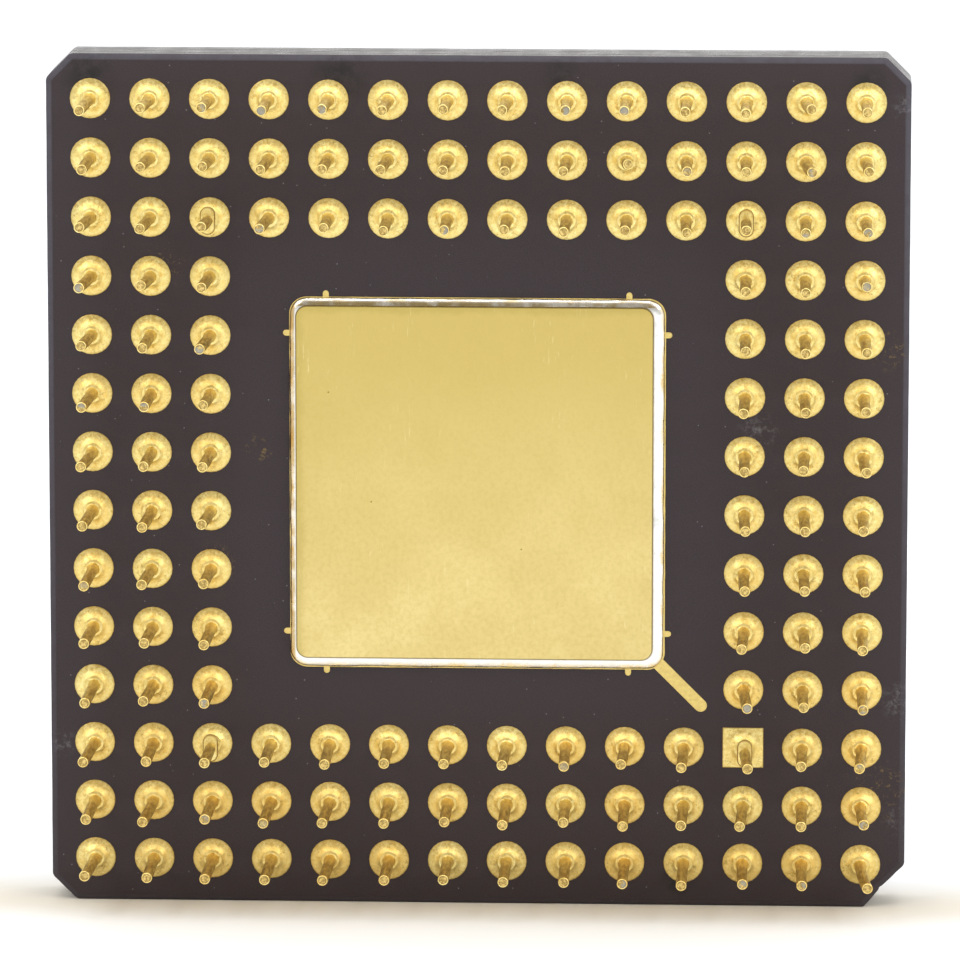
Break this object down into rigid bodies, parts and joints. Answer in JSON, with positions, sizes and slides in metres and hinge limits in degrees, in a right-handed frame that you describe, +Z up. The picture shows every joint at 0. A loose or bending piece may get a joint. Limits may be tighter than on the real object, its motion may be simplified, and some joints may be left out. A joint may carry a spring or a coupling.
{
  "type": "processor package",
  "caption": "Square dark ceramic pin grid array processor with gold pins in rings round a soldered gold lid.",
  "frame": {"origin": "middle of the lower edge that the package stands on, halfway through the ceramic's thickness", "axes": "-Y out of the pin side towards the viewer, +Y out of the heat sink face, +Z up from the edge that it stands on, +X to the right seen from the pin side, towards the index corner"},
  "size_m": [0.0368, 0.0071, 0.0368],
  "materials": {
    "alumina": "matte fired dark alumina",
    "pin_gold": "gold plating on iron-nickel-cobalt alloy, satin with stains",
    "seal_gold": "gold plating on fired tungsten",
    "lid_gold": "matte gold plating, lightly scratched",
    "solder": "bright solder with brown tarnish",
    "tungsten": "fired metal film",
    "silicon": "polished silicon",
    "wire": "drawn wire"
  },
  "bodies": {
    "root": {"bond_fingers_bottom": "seal_gold", "bond_fingers_left": "seal_gold", "bond_fingers_right": "seal_gold", "bond_fingers_top": "seal_gold", "bond_wires_bottom": "wire", "bond_wires_left": "wire", "bond_wires_right": "wire", "bond_wires_top": "wire", "ceramic_back_layer": "alumina", "ceramic_lower_shelf_layer": "alumina", "ceramic_seal_layer": "alumina", "ceramic_upper_shelf_layer": "alumina", "ceramic_wiring_layer": "alumina", "die_attach_preform": "seal_gold", "ground_plane": "tungsten", "lid": "lid_gold", "pins_bottom_inner_1": "pin_gold", "pins_bottom_inner_2": "pin_gold", "pins_bottom_inner_3": "pin_gold", "pins_bottom_middle_1": "pin_gold", "pins_bottom_middle_2": "pin_gold", "pins_bottom_outer_1": "pin_gold", "pins_bottom_outer_2": "pin_gold", "pins_left_inner_1": "pin_gold", "pins_left_inner_2": "pin_gold", "pins_left_inner_3": "pin_gold", "pins_left_middle_1": "pin_gold", "pins_left_middle_2": "pin_gold", "pins_left_outer_1": "pin_gold", "pins_left_outer_2": "pin_gold", "pins_right_inner_1": "pin_gold", "pins_right_inner_2": "pin_gold", "pins_right_inner_3": "pin_gold", "pins_right_middle_1": "pin_gold", "pins_right_middle_2": "pin_gold", "pins_right_outer_1": "pin_gold", "pins_right_outer_2": "pin_gold", "pins_top_inner_1": "pin_gold", "pins_top_inner_2": "pin_gold", "pins_top_inner_3": "pin_gold", "pins_top_middle_1": "pin_gold", "pins_top_middle_2": "pin_gold", "pins_top_outer_1": "pin_gold", "pins_top_outer_2": "pin_gold", "power_plane": "tungsten", "seal_ring": "seal_gold", "seal_solder": "solder", "silicon_die": "silicon", "standoff_pin_bottom": "pin_gold", "standoff_pin_left": "pin_gold", "standoff_pin_right": "pin_gold", "standoff_pin_top": "pin_gold"}
  },
  "joints": []
}
